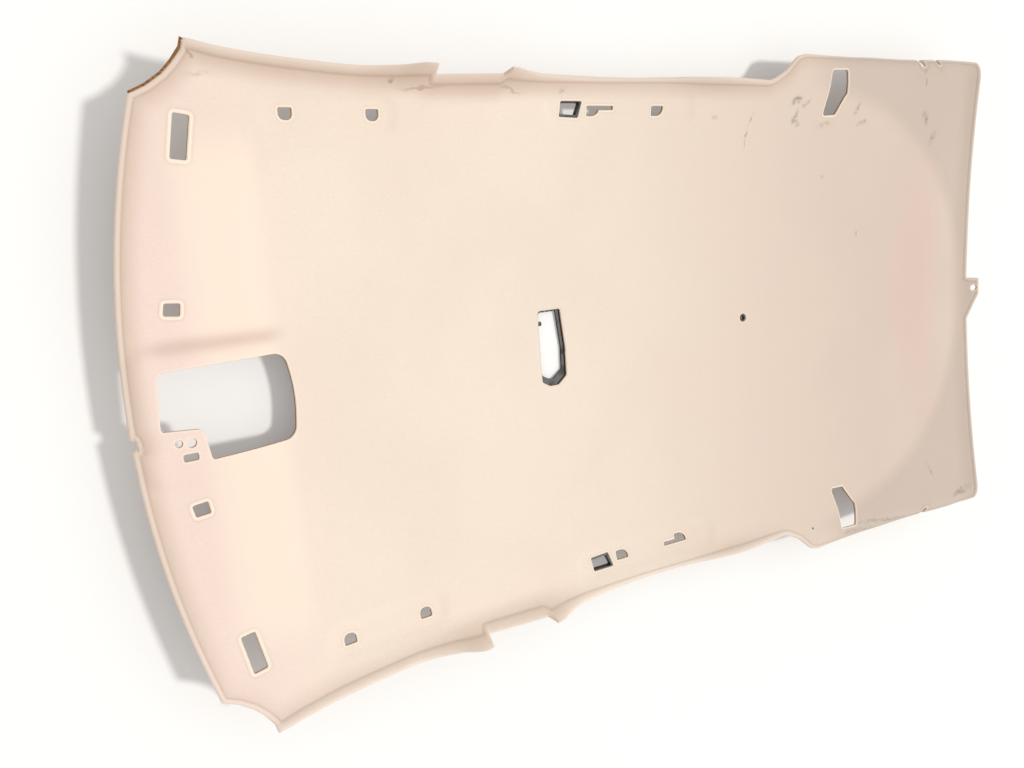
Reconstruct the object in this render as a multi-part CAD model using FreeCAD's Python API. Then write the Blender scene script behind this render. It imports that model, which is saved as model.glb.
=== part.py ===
import FreeCAD, Part
import math
import os

# Car headliner panel: a moulded fibre board with a foam-backed knit bonded to its cabin side,
# lying on its back with the cabin side up. +X points to the tail of the car, +Y to its left side.
# All lengths are in millimetres.

# Thicknesses
FABRIC = 2.5            # knit and its foam, bonded over the whole board
BOARD = 4.0             # moulded fibre board
FRAME = 5.0             # plastic frame of the dome lamp, bonded behind the board
FLANGE = 3.0            # flange of the other plastic retainers
WINDOW_DEPTH = 14.0     # how far the side lamp boxes stand behind the board
FIT = 0.6               # clearance between the spot bush and its hole

# Plan outline
FRONT_X = -1135.0       # front edge on the centre line
FRONT_BOW = 74.0        # how far the front edge falls back at FRONT_BOW_Y
FRONT_BOW_Y = 504.0
REAR_X = 1101.0         # rear edge on the centre line
REAR_BOW = 102.0        # how far the rear edge falls forward at REAR_BOW_Y
REAR_BOW_Y = 590.0

# Half width of the side edge along the car, with the flare behind the third pillar
HALF_WIDTH = [(-1040, 579), (-985, 577), (-930, 566), (-880, 560), (-780, 552), (-680, 547),
              (-600, 546), (-400, 545), (-200, 549), (0, 552), (150, 547), (300, 547),
              (350, 568), (390, 604), (420, 610), (600, 610), (760, 606), (900, 605),
              (960, 602), (1010, 595)]

# How far the turned-up side flange stands above the roof curve
FLANGE_RISE = [(-1040, 12), (-900, 26), (-700, 30), (-620, 50), (-570, 78), (-400, 74),
               (-345, 45), (-290, 22), (-180, 6), (-60, 0), (20, 4), (90, 18), (150, 26),
               (260, 14), (350, 2), (430, -14), (600, -40), (760, -36), (870, -28),
               (950, -24), (1010, -18)]
FLANGE_WIDTH = 60.0

# Roof curve, with the distance u along the car from the dome lamp and v across it, in metres
DOME_X = -284.0
DOME_Z = 13.15
LONG_BOW = 72.2
LONG_SKEW = 14.5
LONG_FLAT = 7.2
LEAN = 40.4             # tilt that lets the panel lie still on its back
CROSS_BOW = 176.0
CROSS_GROWTH = 87.0     # the cross bow grows towards the tail
CROSS_FLAT = 65.0
LIP_RISE = 14.0         # turned-up lip along the rear edge
LIP_WIDTH = 60.0

# Openings
CONSOLE_FRONT = -1088.0
CONSOLE_REAR = -856.0
CONSOLE_LEFT = 74.0
CONSOLE_RIGHT = -87.0
LUG_REAR = -1022.0      # lug of board left standing in the front right corner of the console opening
LUG_LEFT = -28.0
DOME_LENGTH = 164.0
DOME_WIDTH = 65.0
SPOT_X = 270.0
SPOT_Y = 2.0
SPOT_DIA = 19.0
HANDLE_PITCH = 160.0
HANDLE_X = -818.0
HANDLE_Y = 477.0
REAR_GRIP_X = -168.0
REAR_GRIP_PITCH = 168.0
REAR_GRIP_Y = 487.0
TAB_REACH = 32.3        # small lug standing out of the rear edge
TAB_LEFT = 24.0         # left and right foot of the lug on the rear edge
TAB_RIGHT = -94.0
TAB_TIP_LEFT = 20.0     # left and right corner of its end
TAB_TIP_RIGHT = -25.0
TAB_HOLE_DIA = 16.0


def along(stations, x):
    """Smooth curve through (position, value) stations, without overshoot."""
    if x <= stations[0][0]:
        return float(stations[0][1])
    if x >= stations[-1][0]:
        return float(stations[-1][1])
    i = max(k for k in range(len(stations) - 1) if stations[k][0] <= x)
    (xa, ya), (xb, yb) = stations[i], stations[i + 1]
    h = float(xb - xa)
    t = (x - xa) / h
    sa = slope_at(stations, i)
    sb = slope_at(stations, i + 1)
    rise = ya * (1 + 2 * t) * (1 - t) ** 2 + yb * t * t * (3 - 2 * t)
    return rise + h * (sa * t * (1 - t) ** 2 - sb * t * t * (1 - t))


def slope_at(stations, k):
    """Slope of the smooth curve at a station: the harmonic mean of its two sides."""
    if k == 0 or k == len(stations) - 1:
        return 0.0
    (xa, ya), (xb, yb), (xc, yc) = stations[k - 1:k + 2]
    a = (yb - ya) / float(xb - xa)
    b = (yc - yb) / float(xc - xb)
    return 0.0 if a * b <= 0 else 2 * a * b / (a + b)


def bowed(bow, reach, y):
    """Fall of a round edge at y, when it falls by the bow at the reach."""
    radius = (reach ** 2 + bow ** 2) / (2 * bow)
    return radius - math.sqrt(radius ** 2 - y ** 2)


def front_x(y):
    return FRONT_X + bowed(FRONT_BOW, FRONT_BOW_Y, y)


def rear_x(y):
    return REAR_X - bowed(REAR_BOW, REAR_BOW_Y, y)


def tail_x(y):
    """Last cross row: the rear edge moved back by the reach of the lug."""
    return rear_x(y) + TAB_REACH


def roof_z(x, y):
    """Cabin face of the panel, before the flange."""
    u = (x - DOME_X) / 1000.0
    v = y / 1000.0
    z = DOME_Z + LONG_BOW * u ** 2 - LONG_SKEW * u ** 3 - LONG_FLAT * u ** 4 - LEAN * u
    z += (CROSS_BOW + CROSS_GROWTH * u) * v ** 2 + CROSS_FLAT * v ** 4
    lip = max(0.0, (x - rear_x(y) + LIP_WIDTH) / LIP_WIDTH)
    return z + LIP_RISE * (lip ** 2 if lip < 1 else 2 * lip - 1)


def face_z(x, y):
    """Cabin face of the panel, with the turned-up side flange."""
    inboard = along(HALF_WIDTH, x) - abs(y)
    turn = max(0.0, 1 - inboard / FLANGE_WIDTH) ** 4
    return roof_z(x, y) + along(FLANGE_RISE, x) * turn


def face_point(share, inboard, centre_share, side):
    """Point of the cabin face on one cross row; side is +1 or -1."""
    x = front_x(500) * (1 - share) + tail_x(500) * share
    for step in range(3):
        half = along(HALF_WIDTH, x)
        x = front_x(half) * (1 - share) + tail_x(half) * share
    if inboard is None:
        y = (half - ROW_INBOARD[-1]) * centre_share
    else:
        y = half - inboard
    x = front_x(y) * (1 - share) + tail_x(y) * share
    return FreeCAD.Vector(x, side * y, face_z(x, y))


ROW_INBOARD = [0, 4, 9, 15, 22, 31, 43, 60, 85, 118]
ROW_CENTRE = [0.84, 0.67, 0.5, 0.33, 0.16]


def cross_row(share):
    """One row of points across the panel, from its right edge to its left edge."""
    half = [face_point(share, s, 0, 1) for s in ROW_INBOARD]
    half += [face_point(share, None, c, 1) for c in ROW_CENTRE]
    right = [FreeCAD.Vector(p.x, -p.y, p.z) for p in half]
    return right + [face_point(share, None, 0.0, 1)] + half[::-1]


def row_shares():
    """Row positions along the panel: close together at the second pillar and at the flare."""
    stops = [(FRONT_X, 40), (-700, 30), (-640, 16), (-310, 24), (-200, 40), (240, 26),
             (300, 13), (440, 24), (520, 40), (1000, 22)]
    xs = [FRONT_X]
    end = REAR_X + TAB_REACH
    while xs[-1] < end - 12:
        gap = [g for x, g in stops if x <= xs[-1]][-1]
        xs.append(min(xs[-1] + gap, end))
    xs[-1] = end
    return [(x - FRONT_X) / (end - FRONT_X) for x in xs]


def face_grid():
    return [cross_row(s) for s in row_shares()]


def sunk_grid(grid, depth):
    """The same grid, moved square to the face by the depth, towards the back."""
    last_i = len(grid) - 1
    last_j = len(grid[0]) - 1
    sunk = []
    for i, row in enumerate(grid):
        line = []
        for j, p in enumerate(row):
            du = grid[min(i + 1, last_i)][j] - grid[max(i - 1, 0)][j]
            dv = row[min(j + 1, last_j)] - row[max(j - 1, 0)]
            n = du.cross(dv)
            n.normalize()
            line.append(p - n * depth)
        sunk.append(line)
    return sunk


def skin(grid):
    surface = Part.BSplineSurface()
    surface.interpolate(grid)
    return surface


def slab(upper, lower):
    """Closed solid between two surfaces that share their grid."""
    faces = [upper.toShape(), lower.toShape()]
    u0, u1, v0, v1 = upper.bounds()
    pairs = [(upper.uIso(u0), lower.uIso(u0)), (upper.uIso(u1), lower.uIso(u1)),
             (upper.vIso(v0), lower.vIso(v0)), (upper.vIso(v1), lower.vIso(v1))]
    for a, b in pairs:
        faces.append(Part.makeRuledSurface(a.toShape(), b.toShape(), 1))
    shell = Part.Shell(faces)
    shell.sewShape()
    solid = Part.Solid(Part.Shell(shell.Faces))
    if solid.Volume < 0:
        solid.reverse()
    return solid


def prism(wire, low=-60.0, high=320.0):
    face = Part.Face(wire)
    face.translate(FreeCAD.Vector(0, 0, low))
    return face.extrude(FreeCAD.Vector(0, 0, high - low))


def rounded(points, radius):
    """Closed plan outline through corner points, each corner rounded; radius may be a list."""
    count = len(points)
    radii = radius if isinstance(radius, list) else [radius] * count
    corners = [FreeCAD.Vector(x, y, 0) for x, y in points]
    edges = []
    ends = []
    for k in range(count):
        p, a, b = corners[k], corners[k - 1] - corners[k], corners[(k + 1) % count] - corners[k]
        a.normalize()
        b.normalize()
        half = math.acos(max(-1.0, min(1.0, a.dot(b)))) / 2
        reach = radii[k] / math.tan(half)
        start, end = p + a * reach, p + b * reach
        mid = a + b
        mid.normalize()
        middle = p + mid * (radii[k] / math.sin(half) - radii[k])
        ends.append((start, middle, end))
    for k in range(count):
        start, middle, end = ends[k]
        edges.append(Part.Arc(start, middle, end).toShape())
        edges.append(Part.makeLine(end, ends[(k + 1) % count][0]))
    return Part.Wire(edges)


def box_outline(x0, x1, y0, y1, radius):
    return rounded([(x0, y0), (x1, y0), (x1, y1), (x0, y1)], radius)


def disc(x, y, dia):
    circle = Part.makeCircle(dia / 2.0, FreeCAD.Vector(x, y, 0))
    return Part.Wire([circle])


def mirrored(points):
    """The same plan outline on the other side of the car, kept anticlockwise."""
    return [(x, -y) for x, y in points][::-1]


# Openings of the console, the dome lamp and the spot fixing
def console_outline():
    points = [(CONSOLE_FRONT, LUG_LEFT + 2), (LUG_REAR, LUG_LEFT - 4), (LUG_REAR + 8, CONSOLE_RIGHT),
              (CONSOLE_REAR - 8, CONSOLE_RIGHT + 6), (CONSOLE_REAR + 2, 0),
              (CONSOLE_REAR - 12, CONSOLE_LEFT), (CONSOLE_FRONT + 6, CONSOLE_LEFT - 4)]
    return rounded(points, [5, 14, 5, 16, 30, 16, 14])


def dome_outline(front, rear, left, right):
    """Dome lamp outline, each side moved out by its own amount: square at its left end,
    drawn in and rounded at its right end."""
    x0 = DOME_X - DOME_WIDTH / 2 - 0.5 - front
    x1 = DOME_X + DOME_WIDTH / 2 - 0.5 + rear
    y1 = DOME_LENGTH / 2 + 1 + left
    y0 = -DOME_LENGTH / 2 + 1 - right
    points = [(x0, y0 + 10), (x0 + 19, y0), (x1 - 25, y0), (x1 - 2, y0 + 18),
              (x1, 0), (x1 - 8, y1), (x0 + 1, y1)]
    return rounded(points, [8, 7, 9, 9, 30, 4, 6])


# Openings that come in pairs, given for the left side
VISOR = [(-1014, 405), (-989, 402), (-976, 470), (-1001, 474)]
VISOR_CLIP = [(-1058, 160), (-1032, 157), (-1029, 178), (-1054, 180)]
LAMP_WINDOW = [(-251, 476), (-205, 474), (-196, 506), (-248, 506)]
CHEVRON = [(493, 473), (533, 474), (560, 522), (542, 573), (496, 573), (501, 524)]


def grip_points(x, y, wide, deep):
    """D-shaped opening: flat side outboard, rounded side inboard."""
    w = wide / 2.0
    return [(x - w, y + deep / 2.0), (x - w, y - deep / 2.0), (x + w, y - deep / 2.0),
            (x + w, y + deep / 2.0)]


def grip_outline(x, y, wide, deep, side, radii):
    points = grip_points(x, y, wide, deep)
    if side < 0:
        return rounded(mirrored(points), radii[::-1])
    return rounded(points, radii)


def pair(points, radius):
    return [rounded(points, radius), rounded(mirrored(points), radius)]


def opening_outlines():
    wires = [console_outline(), dome_outline(0, 0, 0, 0), disc(SPOT_X, SPOT_Y, SPOT_DIA)]
    wires += [disc(LUG_REAR - 42, LUG_LEFT - 22, 12), disc(LUG_REAR - 22, LUG_LEFT - 24, 16)]
    wires += [box_outline(LUG_REAR - 38, LUG_REAR - 14, LUG_LEFT - 54, LUG_LEFT - 42, 3)]
    wires += pair(VISOR, 3) + pair(VISOR_CLIP, 3) + pair(LAMP_WINDOW, 3) + pair(CHEVRON, 6)
    for side in (1, -1):
        for k in (0, 1):
            x = HANDLE_X + k * HANDLE_PITCH
            wires.append(grip_outline(x, HANDLE_Y, 24, 20, side, [2.5, 10, 10, 2.5]))
            x = REAR_GRIP_X + k * REAR_GRIP_PITCH
            wires.append(grip_outline(x, REAR_GRIP_Y, 31, 20, side, [2.5, 3, 16, 2.5]))
    slot = REAR_GRIP_Y + 2
    wires.append(box_outline(REAR_GRIP_X + 5, REAR_GRIP_X + 51, slot, slot + 8, 2))
    slot_end = REAR_GRIP_X + REAR_GRIP_PITCH - 48
    wires.append(box_outline(slot_end, slot_end + 38, -slot - 8, -slot, 2))
    wires.append(disc(REAR_X + TAB_REACH - 14, (TAB_TIP_LEFT + TAB_TIP_RIGHT) / 2 - 4, TAB_HOLE_DIA))
    return wires


# Pieces cut away at the edges
def edge_cut_outlines():
    wires = []
    for side in (1, -1):
        pillar = [(-1140, 700), (-1140, 500), (-1061, 504), (-1012, 533), (-982, 566), (-980, 700)]
        notch = [(-545, 536), (-408, 539), (-400, 548), (-398, 700), (-556, 700), (-554, 548)]
        slot = [(799, 586), (811, 586), (813, 700), (797, 700)]
        for points in (pillar, notch, slot):
            wires.append(Part.makePolygon(closed(points, side)))
    wires += [rear_cut_outline(1), rear_cut_outline(-1)]
    wires.append(Part.makePolygon(closed([(858, 590), (866, 590), (867, 700), (857, 700)], 1)))
    wires.append(Part.makePolygon(closed([(-1150, -31), (-1128, -33), (-1126, -48), (-1150, -50)], 1)))
    return wires


def closed(points, side):
    corners = [FreeCAD.Vector(x, side * y, 0) for x, y in points]
    return corners + corners[:1]


def rear_cut_outline(side):
    """What lies behind the rear edge on one side of the lug near the centre line."""
    inner = abs(TAB_LEFT if side > 0 else TAB_RIGHT)
    outer = 670
    edge = [FreeCAD.Vector(rear_x(y), side * y, 0) for y in (outer, (outer + inner) / 2.0, inner)]
    tip = FreeCAD.Vector(REAR_X + TAB_REACH, TAB_TIP_LEFT if side > 0 else TAB_TIP_RIGHT, 0)
    past = tip + (tip - edge[-1])
    far = REAR_X + 200
    box = [edge[-1], past, FreeCAD.Vector(far, past.y, 0), FreeCAD.Vector(far, edge[0].y, 0), edge[0]]
    lines = [Part.makeLine(a, b) for a, b in zip(box, box[1:])]
    return Part.Wire([Part.Arc(*edge).toShape()] + lines)


def ring(outer, inner, layer):
    return layer.common(prism(outer).cut(prism(inner)))


# Plastic retainers behind the board
def dome_frame(layer):
    """Flat frame round the dome lamp opening, with a ledge that shows inside the opening,
    notches along its left end and one tongue at its front."""
    frame = ring(dome_outline(12, 12, 12, 12), dome_outline(-3, -8, -4, -14), layer)
    notches = []
    left = DOME_LENGTH / 2 + 1
    for k in range(4):
        x = DOME_X - 22 + k * 11
        notches.append(prism(box_outline(x, x + 4.5, left - 6, left - 0.5, 0.8)))
    tongue_x = DOME_X - DOME_WIDTH / 2
    tongue = layer.common(prism(box_outline(tongue_x - 2, tongue_x + 11, 51, 60, 1.5)))
    return frame.cut(notches).fuse(tongue).removeSplitter()


def spot_bush(inner_layer, flange_layer):
    """Bush that stands in the spot hole, with a flange against the board."""
    bore = disc(SPOT_X, SPOT_Y, SPOT_DIA - 8)
    neck = ring(disc(SPOT_X, SPOT_Y, SPOT_DIA - 2 * FIT), bore, inner_layer)
    flange = ring(disc(SPOT_X, SPOT_Y, SPOT_DIA + 9), bore, flange_layer)
    return neck.fuse(flange).removeSplitter()


def window_points(front, rear, inboard, outboard):
    """Side lamp window, each side moved out by its own amount."""
    (x0, y0), (x1, y1), (x2, y2), (x3, y3) = LAMP_WINDOW
    return [(x0 - front, y0 - inboard), (x1 + rear, y1 - inboard),
            (x2 + rear, y2 + outboard), (x3 - front, y3 + outboard)]


def lamp_box(flange_layer, wall_layer, side):
    """Box behind a side lamp window: a bonded flange, four walls and a ledge inboard."""
    sizes = [(10, 10, 10, 10), (2, 2, 2, 2), (-1.5, -3, -6, -1)]
    if side > 0:
        out, wall, hole = [rounded(window_points(*s), 2) for s in sizes]
    else:
        out, wall, hole = [rounded(mirrored(window_points(*s)), 2) for s in sizes]
    flange = ring(out, hole, flange_layer)
    return flange.fuse(ring(wall, hole, wall_layer)).removeSplitter()


def left_half(surface):
    """The part of a face surface on the left of the centre line."""
    half = surface.copy()
    u0, u1, v0, v1 = half.bounds()
    half.segment(u0, u1, (v0 + v1) / 2, v1)
    return half


def mirror(shape):
    return shape.mirror(FreeCAD.Vector(0, 0, 0), FreeCAD.Vector(0, 1, 0))


def cut_panel(upper, lower, cuts):
    """Panel layer between two surfaces, cut out on each side of the centre line and joined."""
    half = slab(left_half(upper), left_half(lower))
    left = half.cut(cuts)
    right = mirror(half.cut([mirror(c) for c in cuts]))
    return left.fuse(right)


def save(shape, name):
    solids = shape.Solids
    piece = solids[0] if len(solids) == 1 else shape
    print(name, len(solids), piece.isValid(), round(piece.Volume), piece.BoundBox)
    piece.exportStep("parts/" + name + ".step")


def main():
    os.makedirs("parts", exist_ok=True)
    grid = face_grid()
    skins = {}
    back = FABRIC + BOARD
    for depth in (0, 1.5, FABRIC, back, back + FLANGE, back + FRAME, back + WINDOW_DEPTH):
        skins[depth] = skin(sunk_grid(grid, depth) if depth else grid)
    cuts = [prism(w) for w in opening_outlines() + edge_cut_outlines()]

    def layer(top, low):
        return slab(skins[top], skins[low])

    flange_layer = layer(back, back + FLANGE)
    wall_layer = layer(back, back + WINDOW_DEPTH)
    save(cut_panel(skins[0], skins[FABRIC], cuts), "face_fabric")
    save(cut_panel(skins[FABRIC], skins[back], cuts), "headliner_board")
    save(dome_frame(layer(back, back + FRAME)), "dome_lamp_frame")
    save(spot_bush(layer(1.5, back), flange_layer), "spot_bush")
    save(lamp_box(flange_layer, wall_layer, 1), "lamp_box_left")
    save(lamp_box(flange_layer, wall_layer, -1), "lamp_box_right")


main()
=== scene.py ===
# %% Load the fixed frame
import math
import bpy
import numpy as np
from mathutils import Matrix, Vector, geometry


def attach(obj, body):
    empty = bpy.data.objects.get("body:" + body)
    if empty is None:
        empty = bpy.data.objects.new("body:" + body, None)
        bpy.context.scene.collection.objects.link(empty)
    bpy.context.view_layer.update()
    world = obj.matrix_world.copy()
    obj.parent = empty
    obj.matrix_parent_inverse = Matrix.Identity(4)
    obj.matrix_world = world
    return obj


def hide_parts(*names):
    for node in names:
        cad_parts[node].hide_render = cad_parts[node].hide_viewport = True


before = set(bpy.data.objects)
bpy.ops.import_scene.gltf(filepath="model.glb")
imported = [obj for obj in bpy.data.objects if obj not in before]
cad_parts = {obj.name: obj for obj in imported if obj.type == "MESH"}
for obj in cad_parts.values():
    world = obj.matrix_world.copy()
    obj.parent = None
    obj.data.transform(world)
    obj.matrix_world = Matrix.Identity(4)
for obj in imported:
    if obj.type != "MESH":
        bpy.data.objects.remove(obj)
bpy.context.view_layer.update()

# %% [markdown]
# # A car headliner panel
# The object is the moulded roof lining of a car, lying on its back with the cabin side up.
# It is a thin shell: a cream knit with its foam, bonded to a brown fibre board, with a few
# black plastic retainers behind its openings. The script first works out the shell's curve
# and plan in numbers, then turns them into meshes, then dresses them.

# %% [markdown]
# ## The roof curve
# The shell was pressed in one mould, so one height formula can describe the whole cabin face:
# a bow along the car, a bow across it, a lip at the tail and a flange that turns up along
# the sides. A formula keeps the curve smooth at any mesh density. All plan sizes here are in
# millimetres, with x towards the tail and y towards the left side of the car.

# %% Stations of the side edge and of the flange
HALF_WIDTH = [(-1040, 579), (-985, 577), (-930, 566), (-880, 560), (-780, 552), (-680, 547),
              (-600, 546), (-400, 545), (-200, 549), (0, 552), (150, 547), (300, 547),
              (350, 568), (390, 604), (420, 610), (600, 610), (760, 606), (900, 605),
              (960, 602), (1010, 595)]
FLANGE_RISE = [(-1040, 12), (-900, 26), (-700, 30), (-620, 50), (-570, 78), (-400, 74),
               (-345, 45), (-290, 22), (-180, 6), (-60, 0), (20, 4), (90, 18), (150, 26),
               (260, 14), (350, 2), (430, -14), (600, -40), (760, -36), (870, -28),
               (950, -24), (1010, -18)]
FLANGE_WIDTH = 60.0
FRONT_X, REAR_X, TAB_REACH = -1135.0, 1101.0, 32.3
DOME_X, DOME_Z = -284.0, 13.15
FABRIC, BOARD = 2.5, 4.0


# %% Smooth curve through stations
def along(stations, x):
    xs = np.array([s[0] for s in stations], float)
    ys = np.array([s[1] for s in stations], float)
    steps = np.diff(ys) / np.diff(xs)
    a, b = steps[:-1], steps[1:]
    safe = np.where(a + b == 0, 1, a + b)
    slopes = np.zeros(len(xs))
    slopes[1:-1] = np.where(a * b > 0, 2 * a * b / safe, 0)
    x = np.clip(x, xs[0], xs[-1])
    i = np.clip(np.searchsorted(xs, x, side="right") - 1, 0, len(xs) - 2)
    h = xs[i + 1] - xs[i]
    t = (x - xs[i]) / h
    curve = ys[i] * (1 + 2 * t) * (1 - t) ** 2 + ys[i + 1] * t * t * (3 - 2 * t)
    return curve + h * (slopes[i] * t * (1 - t) ** 2 - slopes[i + 1] * t * t * (1 - t))


def ease(edge0, edge1, value):
    t = np.clip((value - edge0) / (edge1 - edge0), 0, 1)
    return t * t * (3 - 2 * t)


print("half width at the second pillar", float(along(HALF_WIDTH, -500.0)))


# %% Edges and bare roof
def bowed(bow, reach, y):
    radius = (reach ** 2 + bow ** 2) / (2 * bow)
    return radius - np.sqrt(radius ** 2 - np.minimum(np.abs(y), radius - 1) ** 2)


def front_x(y):
    return FRONT_X + bowed(74.0, 504.0, y)


def rear_x(y):
    return REAR_X - bowed(102.0, 590.0, y)


def roof_z(x, y):
    u, v = (x - DOME_X) / 1000, y / 1000
    z = DOME_Z + 72.2 * u ** 2 - 14.5 * u ** 3 - 7.2 * u ** 4 - 40.4 * u
    z = z + (176 + 87 * u) * v ** 2 + 65 * v ** 4
    lip = np.maximum(0, (x - rear_x(y) + 60) / 60)
    return z + 14 * np.where(lip < 1, lip ** 2, 2 * lip - 1)


# %% [markdown]
# ## Moulded relief
# The mould leaves low steps in the face: a raised field round the console, pads where the
# grab handles sit, the roll that starts behind the sun visors and a broad dome over the luggage
# space. Each is a soft step of three to eight millimetres, added to the height before meshing,
# because a real step catches light at its foot and a painted one doesn't.

# %% Relief steps: x0, x1, y0, y1 of each field, then its soft width and corner radius
CONSOLE_FIELD = (-1120, -800, -118, 112, 28, 34)
FRONT_HANDLE_PAD = (-858, -616, 446, 506, 18, 26)
REAR_HANDLE_PAD = (-286, 94, 462, 520, 18, 26)
VISOR_ROLL_X = -838


def pad(x, y, x0, x1, y0, y1, soft, corner):
    cx, cy, hx, hy = (x0 + x1) / 2, (y0 + y1) / 2, (x1 - x0) / 2, (y1 - y0) / 2
    qx = np.maximum(np.abs(x - cx) - hx + corner, 0)
    qy = np.maximum(np.abs(y - cy) - hy + corner, 0)
    return 1 - ease(-soft / 2, soft / 2, np.hypot(qx, qy) - corner)


def tail_field(x, y):
    """Nought inside the broad dome over the luggage space, one outside it."""
    oval = np.hypot(np.maximum(x - 380, 0) / 715, y / 550)
    return ease(0.955, 1.03, oval) * ease(420, 560, x)


def relief(x, y):
    side = np.abs(y)
    z = 8.0 * pad(x, y, *CONSOLE_FIELD) * (1 - ease(-960, -850, x))
    z = z - 4.5 * pad(x, side, *FRONT_HANDLE_PAD)
    z = z - 3.0 * pad(x, side, *REAR_HANDLE_PAD)
    behind = x - VISOR_ROLL_X + 9e-5 * y ** 2
    z = z + 5.0 * (1 - ease(-90, 14, behind)) * ease(-1115, -960, x)
    return z + 5.0 * tail_field(x, y)


def face_z(x, y):
    inboard = along(HALF_WIDTH, x) - np.abs(y)
    turn = np.maximum(0, 1 - inboard / FLANGE_WIDTH) ** 4
    return roof_z(x, y) + along(FLANGE_RISE, x) * turn + relief(x, y)


def face_normal(x, y):
    step = 0.4
    dx = (face_z(x + step, y) - face_z(x - step, y)) / (2 * step)
    dy = (face_z(x, y + step) - face_z(x, y - step)) / (2 * step)
    n = np.stack([-dx, -dy, np.ones_like(dx)], axis=-1)
    return n / np.linalg.norm(n, axis=-1, keepdims=True)


print("dome lamp stands at height", float(face_z(DOME_X, 0.0)), "mm")


# %% [markdown]
# ## The plan
# The trimmed outline and each opening are plan outlines. They could be cut with boolean
# modifiers, but a flat triangulation that already knows the outlines gives clean rims with
# no cutting faults, and its points can be packed closely at the edges.

# %% Outline tools
def resample(points, gap):
    points = np.array(points, float)
    out = []
    for a, b in zip(points, np.roll(points, -1, axis=0)):
        count = max(1, int(round(np.hypot(*(b - a)) / gap)))
        out += [a + (b - a) * k / count for k in range(count)]
    return np.array(out)


def rounded(points, radius):
    points = np.array(points, float)
    radii = radius if isinstance(radius, list) else [radius] * len(points)
    out = []
    for k, p in enumerate(points):
        a = points[k - 1] - p
        b = points[(k + 1) % len(points)] - p
        a, b = a / np.hypot(*a), b / np.hypot(*b)
        half = math.acos(np.clip(a @ b, -1, 1)) / 2
        middle = (a + b) / np.hypot(*(a + b))
        centre = p + middle * radii[k] / math.sin(half)
        start, end = p + a * radii[k] / math.tan(half), p + b * radii[k] / math.tan(half)
        for t in np.linspace(0, 1, 7):
            ray = (start - centre) * (1 - t) + (end - centre) * t
            out.append(centre + ray / np.hypot(*ray) * radii[k])
    return np.array(out)


def box_outline(x0, x1, y0, y1, radius):
    return rounded([(x0, y0), (x1, y0), (x1, y1), (x0, y1)], radius)


def disc(x, y, dia):
    turn = np.linspace(0, 2 * math.pi, 28, endpoint=False)
    return np.stack([x + dia / 2 * np.cos(turn), y + dia / 2 * np.sin(turn)], axis=1)


def grip(x, y, wide, side, radii):
    w = wide / 2
    corners = [(x - w, y + 10), (x - w, y - 10), (x + w, y - 10), (x + w, y + 10)]
    shape = rounded(corners, radii)
    return shape * [1, side]


# %% Openings, some of them on both sides
def slot_grip(side):
    """Grab handle opening with a slot that runs on from it, as one outline."""
    if side > 0:
        return [(-183.5, 497), (-183.5, 479), (-181, 477), (-168, 477), (-160, 480), (-155, 484),
                (-153, 489), (-117, 489), (-117, 497)]
    return [(-15.5, -497), (15.5, -497), (15.5, -493), (13, -485), (7, -480), (-1, -477),
            (-13, -477), (-15.5, -479), (-15.5, -489), (-48, -489), (-48, -497)]


console = rounded([(-1088, -26), (-1022, -32), (-1014, -87), (-864, -81), (-854, 0), (-868, 74),
                   (-1082, 70)], [5, 14, 5, 24, 280, 24, 14])
dome = rounded([(-317, -71), (-298, -81), (-276.5, -81), (-254, -63), (-252, 0), (-260, 83),
                (-316, 83)], [8, 7, 9, 9, 30, 4, 6])
openings = [console, dome, disc(270, 2, 19), disc(-1064, -50, 12), disc(-1044, -52, 16),
            box_outline(-1060, -1036, -82, -70, 3), disc(1119.3, -6.5, 16)]
VISOR = rounded([(-1014, 405), (-989, 402), (-976, 470), (-1001, 474)], 3)
VISOR_CLIP = rounded([(-1058, 160), (-1032, 157), (-1029, 178), (-1054, 180)], 3)
LAMP_WINDOW = rounded([(-251, 476), (-205, 474), (-196, 506), (-248, 506)], 3)
CHEVRON = rounded([(493, 473), (533, 474), (560, 522), (542, 573), (496, 573), (501, 524)], 6)
for side in (1, -1):
    openings += [shape * [1, side] for shape in (VISOR, VISOR_CLIP, LAMP_WINDOW, CHEVRON)]
    openings += [grip(x, 477, 24, side, [2.5, 10, 10, 2.5]) for x in (-818, -658)]
openings += [np.array(slot_grip(1)), np.array(slot_grip(-1))]
openings += [grip(0, 487, 31, 1, [2.5, 3, 16, 2.5]), grip(-168, 487, 31, -1, [2.5, 3, 16, 2.5])]
openings = [resample(shape, 3.0) for shape in openings]
rim_widths = [2.6, 2.0, 2.6, 2.6, 2.6, 2.6, 2.6] + 2 * [6.2, 5.6, 4.2, 4.6, 4.4, 4.4] + 4 * [4.2]
print(len(openings), "openings", len(rim_widths), "rims")


# %% Trimmed outline, from the tail lug round the left side and back
def side_run(x0, x1, side):
    xs = np.arange(x0, x1, 6.0 if x1 > x0 else -6.0)
    return [(x, side * float(along(HALF_WIDTH, x))) for x in xs]


def side_edge(side):
    """One side from the windscreen corner to the tail corner."""
    edge = [(-1061, side * 504), (-1036, side * 516), (-1012, side * 533), (-996, side * 549),
            (-982, side * 566)]
    edge += side_run(-980, -556, side)
    edge += [(-554.3, side * 545), (-545, side * 536), (-408, side * 539), (-401, side * 545)]
    edge += side_run(-399, 797, side)
    edge += [(799, side * 586), (811, side * 586)]
    if side > 0:
        edge += side_run(812, 857, side) + [(858, 590), (866, 590)] + side_run(867, 996, side)
    else:
        edge += side_run(812, 996, side)
    return edge


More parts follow.
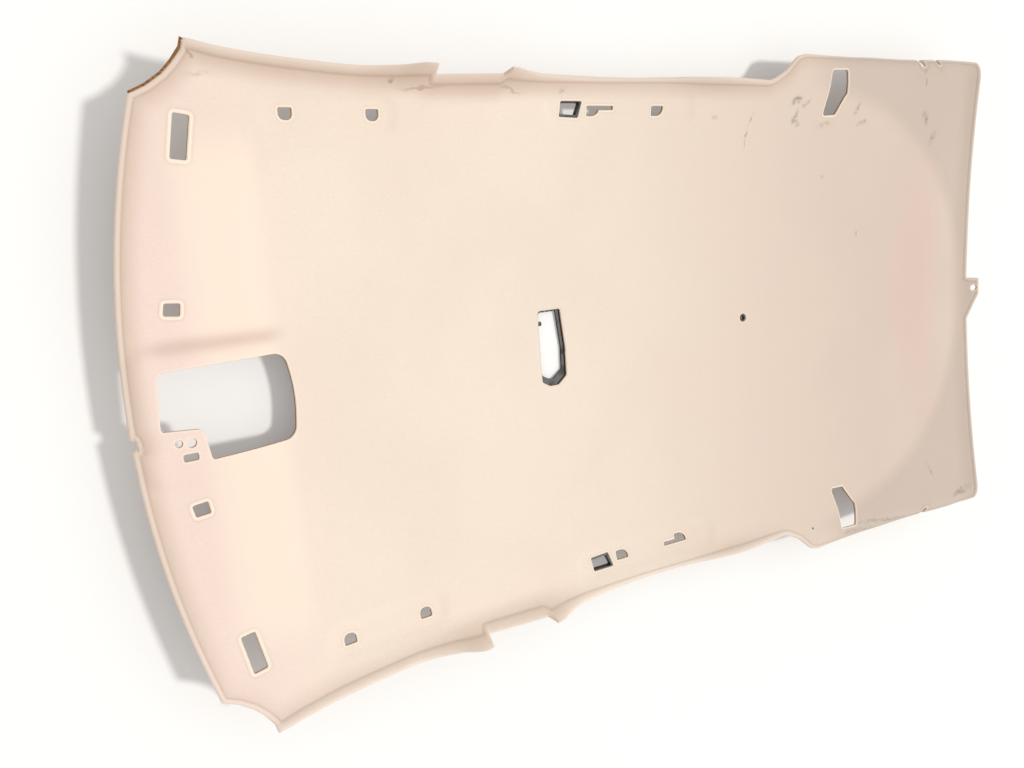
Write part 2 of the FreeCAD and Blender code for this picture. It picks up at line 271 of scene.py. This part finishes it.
left_tail = [(float(rear_x(y)), y) for y in np.arange(594, 24, -10.0)]
right_tail = [(float(rear_x(y)), -y) for y in np.arange(94, 595, 10.0)]
lug = [(float(rear_x(24)), 24), (1133.3, 20), (1133.3, -25)]
windscreen = [(float(front_x(y)), y) for y in np.arange(-500, -50, 10.0)]
windscreen += [(-1134.6, -50), (-1126, -48), (-1128, -33), (-1134.9, -31)]
windscreen += [(float(front_x(y)), y) for y in np.arange(-20, 501, 10.0)]
outline = lug[::-1] + left_tail[::-1] + side_edge(1)[::-1]
outline += windscreen[::-1] + side_edge(-1) + right_tail[::-1]
outline = resample(outline, 6.0)
print("outline points", len(outline))


# %% [markdown]
# ## Plan triangulation
# Points of an even grid fill the sheet. Extra rows of points follow each outline at a few
# millimetres, so that the rounded fabric edge and the flange have something to bend on. The
# Delaunay helper that comes with Blender joins them, and triangles outside the sheet go.

# %% Distances and insides
def edge_distance(points, loops):
    starts = np.vstack(loops)
    ends = np.vstack([np.roll(loop, -1, axis=0) for loop in loops])
    run = ends - starts
    length2 = np.maximum((run ** 2).sum(1), 1e-9)
    best = np.full(len(points), 1e9)
    for lo in range(0, len(points), 4000):
        p = points[lo:lo + 4000, None, :] - starts[None]
        t = np.clip((p * run[None]).sum(2) / length2, 0, 1)
        gap = p - t[..., None] * run[None]
        best[lo:lo + 4000] = np.sqrt((gap ** 2).sum(2).min(1))
    return best


def inside_sheet(points, loops):
    starts = np.vstack(loops)
    ends = np.vstack([np.roll(loop, -1, axis=0) for loop in loops])
    inside = np.zeros(len(points), bool)
    for lo in range(0, len(points), 4000):
        x, y = points[lo:lo + 4000, 0][:, None], points[lo:lo + 4000, 1][:, None]
        above = (starts[:, 1] > y) != (ends[:, 1] > y)
        rise = np.where(ends[:, 1] == starts[:, 1], 1, ends[:, 1] - starts[:, 1])
        cross = starts[:, 0] + (y - starts[:, 1]) * (ends[:, 0] - starts[:, 0]) / rise
        inside[lo:lo + 4000] = ((above & (x < cross)).sum(1) % 2) == 1
    return inside


# %% Triangulate the sheet
def moved_in(loop, amount):
    """The loop moved to its left by an amount, which may differ from point to point."""
    ahead = np.roll(loop, -1, axis=0) - np.roll(loop, 1, axis=0)
    square = np.stack([-ahead[:, 1], ahead[:, 0]], axis=1)
    square = square / np.maximum(np.linalg.norm(square, axis=1, keepdims=True), 1e-9)
    return loop + square * np.reshape(amount, (-1, 1))


def near_rows(loops, offsets):
    rows = []
    for loop in loops:
        for offset in offsets:
            for way in (offset, -offset):
                points = moved_in(loop, way)
                keep = edge_distance(points, loops) > 0.85 * offset
                rows.append(points[keep & inside_sheet(points, loops)])
    return np.vstack(rows)


def triangulate(loops, pitch, offsets):
    xs, ys = np.meshgrid(np.arange(-1132, 1134, pitch), np.arange(-608, 609, pitch))
    ys = ys + (np.arange(xs.shape[1]) % 2) * pitch * 0.5
    grid = np.stack([xs.ravel(), ys.ravel()], axis=1)
    grid = grid[inside_sheet(grid, loops)]
    grid = grid[edge_distance(grid, loops) > max(offsets) + pitch * 0.4]
    free = np.vstack([near_rows(loops, offsets), grid])
    rim = np.vstack(loops)
    links = []
    base = 0
    for loop in loops:
        n = len(loop)
        links += [(base + k, base + (k + 1) % n) for k in range(n)]
        base += n
    points = [Vector(p) for p in np.vstack([rim, free])]
    verts, edges, faces = geometry.delaunay_2d_cdt(points, links, [], 0, 1e-4, False)[:3]
    verts = np.array([tuple(v) for v in verts])
    faces = np.array([f for f in faces if len(f) == 3])
    faces = faces[inside_sheet(verts[faces].mean(axis=1), loops)]
    used = np.unique(faces)
    number = np.full(len(verts), -1)
    number[used] = np.arange(len(used))
    return verts[used], number[faces]


def raw_edge(points):
    """One where the board was left bare, at the left windscreen pillar."""
    return ((points[:, 0] < -975) & (points[:, 1] > 500)).astype(float)


knit_outline = moved_in(outline, 3.5 * raw_edge(outline))
board_outline = moved_in(outline, 1.5 - 1.5 * raw_edge(outline))
plan, plan_faces = triangulate([knit_outline] + openings, 9.0, [1.0, 2.4, 4.6, 7.0, 9.5, 12.0])
print("sheet of the knit:", len(plan), "points", len(plan_faces), "triangles")
core_plan, core_faces = triangulate([board_outline] + openings, 13.0, [2.5, 7.0])
print("sheet of the board:", len(core_plan), "points", len(core_faces), "triangles")


# %% Turn a plan into a closed shell
def fall(gap, radius):
    """Depth of a rounded edge at a distance from it."""
    near = radius - np.minimum(gap, radius)
    return radius - np.sqrt(radius ** 2 - near ** 2)


def bell(value, middle, width):
    return np.exp(-((value - middle) / width) ** 2)


def shell(name, points, faces, top_depth, low_depth):
    x, y = points[:, 0], points[:, 1]
    foot = np.stack([x, y, face_z(x, y)], axis=1)
    normal = face_normal(x, y)
    top = foot - normal * np.reshape(top_depth, (-1, 1))
    low = foot - normal * np.reshape(low_depth, (-1, 1))
    count = len(points)
    turned = np.vstack([faces, faces[:, ::-1] + count])
    pairs = np.vstack([faces[:, [0, 1]], faces[:, [1, 2]], faces[:, [2, 0]]])
    key = np.sort(pairs, axis=1)
    _, index, uses = np.unique(key, axis=0, return_index=True, return_counts=True)
    rim = pairs[index[uses == 1]]
    walls = np.stack([rim[:, 1], rim[:, 0], rim[:, 0] + count, rim[:, 1] + count], axis=1)
    mesh = bpy.data.meshes.new(name)
    coords = np.vstack([top, low]) / 1000
    mesh.from_pydata(coords.tolist(), [], turned.tolist() + walls.tolist())
    mesh.update()
    item = bpy.data.objects.new(name, mesh)
    bpy.context.scene.collection.objects.link(item)
    mesh.polygons.foreach_set("use_smooth", [True] * len(mesh.polygons))
    mesh.set_sharp_from_angle(angle=math.radians(50))
    print(name, len(mesh.polygons), "faces")
    return item


def dress(item, node_name, material):
    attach(item, "root")
    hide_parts(node_name)
    item.data.materials.clear()
    item.data.materials.append(material)


# %% [markdown]
# ## Finishes
# A finish is a small graph of nodes. Colours are written as they look on a screen and turned
# linear by one function. Pattern scales come from real sizes: knit loops of about a
# millimetre, wood fibres a few millimetres long.

# %% Colour and node helpers
def colour(code):
    parts = [int(code[k:k + 2], 16) / 255 for k in (0, 2, 4)]
    return [p / 12.92 if p <= 0.04045 else ((p + 0.055) / 1.055) ** 2.4 for p in parts] + [1.0]


def add(tree, kind, inputs=None, **settings):
    made = tree.nodes.new(kind)
    for key, value in settings.items():
        setattr(made, key, value)
    for key, value in (inputs or {}).items():
        if isinstance(value, bpy.types.NodeSocket):
            tree.links.new(value, made.inputs[key])
        else:
            made.inputs[key].default_value = value
    return made


def new_finish(name, roughness):
    material = bpy.data.materials.new(name)
    material.use_nodes = True
    tree = material.node_tree
    shader = tree.nodes["Principled BSDF"]
    shader.inputs["Roughness"].default_value = roughness
    place = add(tree, "ShaderNodeTexCoord").outputs["Object"]
    return material, tree, shader, place


def noise(tree, place, scale, detail):
    inputs = {"Vector": place, "Scale": scale, "Detail": detail}
    return add(tree, "ShaderNodeTexNoise", inputs).outputs[0]


def ramp(tree, value, low, high, out_low=0.0, out_high=1.0):
    made = add(tree, "ShaderNodeMapRange", {"Value": value, "From Min": low, "From Max": high,
               "To Min": out_low, "To Max": out_high}, interpolation_type="SMOOTHSTEP")
    return made.outputs["Result"]


def blend(tree, amount, first, second, kind="MIX"):
    made = add(tree, "ShaderNodeMix", data_type="RGBA", blend_type=kind)
    for key, value in ((0, amount), (6, first), (7, second)):
        if isinstance(value, bpy.types.NodeSocket):
            tree.links.new(value, made.inputs[key])
        else:
            made.inputs[key].default_value = value
    return made.outputs[2]


def bump(tree, height, distance, strength, under=None):
    inputs = {"Height": height, "Distance": distance, "Strength": strength}
    if under is not None:
        inputs["Normal"] = under
    return add(tree, "ShaderNodeBump", inputs).outputs["Normal"]


def times(tree, a, b, kind="MULTIPLY"):
    return add(tree, "ShaderNodeMath", {0: a, 1: b}, operation=kind).outputs[0]


# %% [markdown]
# ## The knit and its marks
# The lining is a fine cream knit. It is a little pinker towards the windscreen, greyer towards
# the tail and paler where it was pressed thin round the openings. A painted highlight lies
# behind the sun visors, and painted shade darkens the outer edges, the crease beside the
# console, the area outside the tail dome and the folds of the hem and rims. Each handling mark
# is an oval placed by its centre, angle and half sizes, so that it stays at its own place on
# the sheet. Noise frays the ovals and breaks up the fainter ones.

# %% Marks: x, y, angle in degrees, half length, half width (mm), colour, strength
MARKS = [
    (-967, 560, -55, 9, 2.6, "5d4634", 0.8), (-627, 531, 0, 7, 4, "2b2622", 0.85),
    (-247, 527, 10, 13, 8, "8d7f74", 0.5), (402, 508, 20, 22, 10, "857a70", 0.6),
    (410, 458, -20, 18, 9, "9a8d82", 0.5), (162, 471, 0, 12, 7, "b3a396", 0.4),
    (853, 463, -58, 30, 11, "6f655c", 0.66), (897, 416, 70, 24, 12, "6f655c", 0.62),
    (812, 577, 80, 15, 6, "2a241f", 0.9), (866, 582, 80, 13, 5, "2a241f", 0.85),
    (822, 548, -60, 12, 3, "3a322c", 0.75), (403, -556, 0, 3.2, 3.2, "14110f", 1.0),
    (856, -489, -68, 26, 8, "958a80", 0.6), (951, -564, 15, 50, 12, "7c7168", 0.65),
    (660, -585, -8, 170, 9, "8a7f76", 0.55), (560, -592, -6, 90, 10, "8a7f76", 0.5),
    (-955, 532, 5, 34, 5, "b5a08e", 0.5), (267, 466, 70, 24, 3.0, "9c8e82", 0.6),
    (258, 424, 84, 26, 3.6, "8d7f74", 0.66), (404, 471, 62, 24, 8, "a39589", 0.6),
    (432, 500, 30, 22, 8, "a99b8f", 0.55), (604, 488, 70, 24, 9, "a99b8f", 0.5),
    (632, 455, 10, 26, 9, "a99b8f", 0.45), (505, 452, 12, 40, 9, "b0a295", 0.4),
    (520, 330, 0, 9, 5, "a39387", 0.6), (660, 180, -70, 12, 4, "a39387", 0.6),
    (885, 20, 90, 430, 120, "dcbfb3", 0.7),
    (-560, 522, 4, 56, 3.0, "a48e7b", 0.72), (-380, 523, -12, 40, 2.6, "a9937f", 0.7)]
FAINT = 0.7

# Tints that follow the shape of the sheet: name of the point layer, strength, colour. The hem and
# rim tints are the knit's own paler colour. The rest are painted light: a painted highlight
# behind the visors, and painted shade along the outer edges, the console crease, the tail and the
# folds.
SHAPE_TINTS = [
    ("glow", 0.7, "fbe5d1"), ("painted_edge_shade", 0.75, "d3bba8"), ("painted_crease_shade", 0.6, "cdb4a2"),
    ("painted_tail_shade", 0.5, "c3b5a7"), ("painted_fold_shade", 0.35, "a8907b"), ("hem", 0.3, "f9ebdc"),
    ("rim", 0.85, "fdebd4")]


def knit_finish():
    material, tree, shader, place = new_finish("cream_knit", 0.95)
    x = add(tree, "ShaderNodeSeparateXYZ", {"Vector": place}).outputs["X"]
    tint = blend(tree, ramp(tree, x, -1.1, -0.75, 1.0, 0.0), colour("f2e1d0"), colour("f1d9cd"))
    tint = blend(tree, ramp(tree, x, -0.4, 0.8), tint, colour("dac6b6"))
    cloud = ramp(tree, noise(tree, place, 3.2, 4.0), 0.38, 0.66)
    tint = blend(tree, times(tree, cloud, 0.3), tint, colour("e6d2c0"))
    grain = ramp(tree, noise(tree, place, 260.0, 4.0), 0.3, 0.7)
    tint = blend(tree, times(tree, grain, 0.16), tint, colour("d8c5b3"))
    wobble = add(tree, "ShaderNodeTexNoise", {"Vector": place, "Scale": 55.0, "Detail": 4.0})
    wobble = add(tree, "ShaderNodeVectorMath", {0: wobble.outputs["Color"], 1: (0.5, 0.5, 0.5)},
                 operation="SUBTRACT").outputs[0]
    torn = add(tree, "ShaderNodeVectorMath", {0: wobble, 1: (0.016, 0.016, 0.0), 2: place},
               operation="MULTIPLY_ADD").outputs[0]
    specks = ramp(tree, noise(tree, place, 95.0, 6.0), 0.4, 0.62, 0.25, 1.3)
    for mark_x, mark_y, angle, length, width, shade, strength in MARKS:
        spot = add(tree, "ShaderNodeMapping", {"Vector": torn,
                   "Location": (mark_x / 1000, mark_y / 1000, 0.0),
                   "Rotation": (0.0, 0.0, math.radians(angle)),
                   "Scale": (length / 1000, width / 1000, 10.0)}, vector_type="TEXTURE")
        far = add(tree, "ShaderNodeVectorMath", {0: spot.outputs[0]}, operation="LENGTH")
        mask = ramp(tree, far.outputs["Value"], 1.1, 0.2, 0.0, strength)
        if strength < FAINT:
            mask = times(tree, mask, specks)
        tint = blend(tree, mask, tint, colour(shade))
    for layer, strength, shade in SHAPE_TINTS:
        amount = add(tree, "ShaderNodeAttribute", attribute_name=layer).outputs["Fac"]
        tint = blend(tree, times(tree, amount, strength), tint, colour(shade))
    tree.links.new(tint, shader.inputs["Base Color"])
    shader.inputs["Sheen Weight"].default_value = 0.15
    shader.inputs["Sheen Roughness"].default_value = 0.6
    shader.inputs["Specular IOR Level"].default_value = 0.2
    loops_x = add(tree, "ShaderNodeTexWave", {"Vector": place, "Scale": 180.0, "Distortion": 1.2,
                  "Detail Scale": 3.0}, bands_direction="X").outputs["Fac"]
    loops_y = add(tree, "ShaderNodeTexWave", {"Vector": place, "Scale": 140.0, "Distortion": 1.2,
                  "Detail Scale": 3.0}, bands_direction="Y").outputs["Fac"]
    weave = times(tree, loops_x, loops_y)
    soft = bump(tree, noise(tree, place, 22.0, 4.0), 0.0012, 0.5)
    tree.links.new(bump(tree, weave, 0.0002, 0.6, soft), shader.inputs["Normal"])
    return material


# %% Board and plastic
def board_finish():
    material, tree, shader, place = new_finish("brown_fibre_board", 0.9)
    long_way = add(tree, "ShaderNodeMapping", {"Vector": place, "Scale": (0.35, 1.0, 1.0)}).outputs[0]
    fibres = noise(tree, long_way, 420.0, 6.0)
    tint = blend(tree, ramp(tree, fibres, 0.3, 0.7), colour("6e4a2b"), colour("a8794c"))
    tint = blend(tree, ramp(tree, noise(tree, place, 9.0, 4.0), 0.4, 0.7), tint, colour("8a6039"))
    flecks = ramp(tree, noise(tree, place, 900.0, 2.0), 0.62, 0.75)
    tint = blend(tree, times(tree, flecks, 0.7), tint, colour("d2ab7a"))
    tree.links.new(tint, shader.inputs["Base Color"])
    shader.inputs["Specular IOR Level"].default_value = 0.15
    rough = bump(tree, noise(tree, place, 60.0, 5.0), 0.001, 0.4)
    tree.links.new(bump(tree, fibres, 0.0006, 0.8, rough), shader.inputs["Normal"])
    return material


def plastic_finish():
    material, tree, shader, place = new_finish("black_retainer_plastic", 0.5)
    dust = ramp(tree, noise(tree, place, 45.0, 5.0), 0.45, 0.8)
    tint = blend(tree, times(tree, dust, 0.25), colour("0e0c0a"), colour("38332e"))
    tree.links.new(tint, shader.inputs["Base Color"])
    tree.links.new(ramp(tree, dust, 0.0, 1.0, 0.42, 0.7), shader.inputs["Roughness"])
    tree.links.new(bump(tree, noise(tree, place, 1400.0, 2.0), 0.0002, 0.5), shader.inputs["Normal"])
    return material


knit, fibre_board, black_plastic = knit_finish(), board_finish(), plastic_finish()
print("finishes:", knit.name, fibre_board.name, black_plastic.name)

# %% [markdown]
# ## The layers
# The knit keeps its foam under it, so its edge is soft and round. It is folded over the edge
# of the board, which leaves a low roll with a crease behind it. The board carries it and
# shows only at raw edges and from behind. Both are made from the same curve, so they touch
# all over, as a bonded laminate does.

# %% Depths of the knit under the bare curve, in millimetres
outer, inner = edge_distance(plan, [knit_outline]), edge_distance(plan, openings)
ring = np.min([edge_distance(plan, [shape]) / width
               for shape, width in zip(openings, rim_widths)], axis=0)
hem_roll = 0.8 * bell(outer, 9.5, 1.7) - 0.7 * bell(outer, 4.5, 2.6)
rim_roll = 0.5 * bell(ring, 1.2, 0.3) - 0.3 * bell(ring, 0.5, 0.4)
top_depth = fall(outer, 3.0) + fall(inner, 2.3) + hem_roll + rim_roll
wrap = 4.4 * (1 - ease(1.6, 4.4, outer)) * (1 - raw_edge(plan))
low_depth = FABRIC + wrap - fall(outer, 1.8) * (wrap > 0)


# %% Make the layers
def add_layer(item, name, values):
    layer = item.data.attributes.new(name, "FLOAT", "POINT")
    layer.data.foreach_set("value", np.concatenate([values, values]).astype(np.float32))


skin = shell("knit_lining", plan, plan_faces, top_depth, low_depth)
core_gap = edge_distance(core_plan, [board_outline] + openings)
core = shell("moulded_board", core_plan, core_faces, np.full(len(core_plan), FABRIC),
             FABRIC + BOARD - fall(core_gap, 0.6))
px, py = plan[:, 0], plan[:, 1]
add_layer(skin, "rim", 1 - ease(0.7, 1.1, ring))
add_layer(skin, "hem", 1 - ease(5.0, 9.0, outer))
# Painted shade: a dark line in the crease behind the hem and a fainter one just outside each pale
# opening rim.
add_layer(skin, "painted_fold_shade", np.maximum(bell(outer, 9.5, 1.9), 0.5 * bell(ring, 1.25, 0.25)))
# Painted shade: greyer colour outside the broad dome over the luggage space, beyond its step.
add_layer(skin, "painted_tail_shade", tail_field(px, py))
# Painted shade: darker within about 46 mm of the outer edge, strongest along the left side towards
# the windscreen.
add_layer(skin, "painted_edge_shade", (1 - ease(8, 46, outer)) * ease(-420, 250, py - 0.35 * px))
# Painted highlight: a warm, lighter band behind the sun visors across the middle of the roof.
behind_visors = ease(-1050, -975, px) * (1 - ease(-905, -858, px))
add_layer(skin, "glow", behind_visors * ease(480, 380, np.abs(py)))
# Painted shade: a dark line along the left edge of the raised console field, fading out towards x =
# -850.
add_layer(skin, "painted_crease_shade", bell(py, 107, 13) * ease(-1112, -1060, px) * (1 - ease(-900, -850, px)))
dress(skin, "face_fabric", knit)
dress(core, "headliner_board", fibre_board)

# %% [markdown]
# ## The retainers
# Black plastic parts are bonded behind the openings: a flat frame at the dome lamp, a
# box at each side lamp and a bush at the spot fixing. The solid model already holds their
# full shape, so each is taken as it is.

# %% Retainers from the solid model
for node_name in ("dome_lamp_frame", "spot_bush", "lamp_box_left", "lamp_box_right"):
    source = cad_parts[node_name]
    piece = bpy.data.objects.new(node_name + "_moulded", source.data.copy())
    piece.matrix_world = source.matrix_world.copy()
    bpy.context.scene.collection.objects.link(piece)
    dress(piece, node_name, black_plastic)
    print(piece.name, len(piece.data.polygons), "faces")


# %% [markdown]
# ## Floor, light and camera
# A pale floor keeps the shadow under the shell. The sky gives even light and a sun from the
# tail end gives the moulded steps and the flanges their shading. The camera stands over the
# windscreen end and looks towards the tail.

# %% Floor
FLOOR_GLOW = 0.18
bpy.ops.mesh.primitive_plane_add(size=24.0, location=(0.0, 0.0, -0.001))
floor = bpy.context.object
floor.name = "floor"
material, tree, shader, place = new_finish("pale_floor", 1.0)
shader.inputs["Base Color"].default_value = (0.97, 0.955, 0.92, 1.0)
shader.inputs["Specular IOR Level"].default_value = 0.0
rays = add(tree, "ShaderNodeLightPath")
seen = times(tree, rays.outputs["Is Camera Ray"], rays.outputs["Is Glossy Ray"], "MAXIMUM")
seen = times(tree, seen, rays.outputs["Is Transmission Ray"], "MAXIMUM")
glow = add(tree, "ShaderNodeEmission", {"Color": (1.0, 1.0, 1.0, 1.0), "Strength": 1.0})
mixer = add(tree, "ShaderNodeMixShader", {0: times(tree, seen, FLOOR_GLOW), 1: shader.outputs[0],
            2: glow.outputs[0]})
tree.links.new(mixer.outputs[0], tree.nodes["Material Output"].inputs["Surface"])
floor.data.materials.append(material)

# %% Light
SKY, SUN, SUN_ANGLE = 0.6, 1.7, 0.12
SUN_FROM = Vector((0.47, -0.06, 1.0))
world = bpy.data.worlds.new("soft_room")
bpy.context.scene.world = world
world.use_nodes = True
sky = world.node_tree
rays = add(sky, "ShaderNodeLightPath")
seen = times(sky, rays.outputs["Is Camera Ray"], rays.outputs["Is Glossy Ray"], "MAXIMUM")
seen = times(sky, seen, rays.outputs["Is Transmission Ray"], "MAXIMUM")
level = times(sky, times(sky, seen, 1.0 - SKY), SKY, "ADD")
sky.links.new(level, sky.nodes["Background"].inputs["Strength"])
sky.nodes["Background"].inputs["Color"].default_value = (1.0, 1.0, 1.0, 1.0)
lamp = bpy.data.lights.new("broad_sun", "SUN")
lamp.energy = SUN
lamp.angle = SUN_ANGLE
sun = bpy.data.objects.new("broad_sun", lamp)
bpy.context.scene.collection.objects.link(sun)
sun.rotation_euler = SUN_FROM.to_track_quat("Z", "Y").to_euler()

# %% Camera
right = Vector((0.875412, -0.084791, 0.475882))
down = Vector((-0.15188, -0.982884, 0.104265))
ahead = Vector((0.458896, -0.163552, -0.873307))
eye = bpy.data.cameras.new("eye")
eye.lens = 28.924
eye.sensor_width = 36.0
camera = bpy.data.objects.new("eye", eye)
bpy.context.scene.collection.objects.link(camera)
turn = Matrix((right, -down, -ahead)).transposed().to_4x4()
camera.matrix_world = Matrix.Translation((-1.19053, 0.22232, 1.53355)) @ turn
bpy.context.scene.camera = camera
bpy.context.scene.view_settings.view_transform = "Standard"
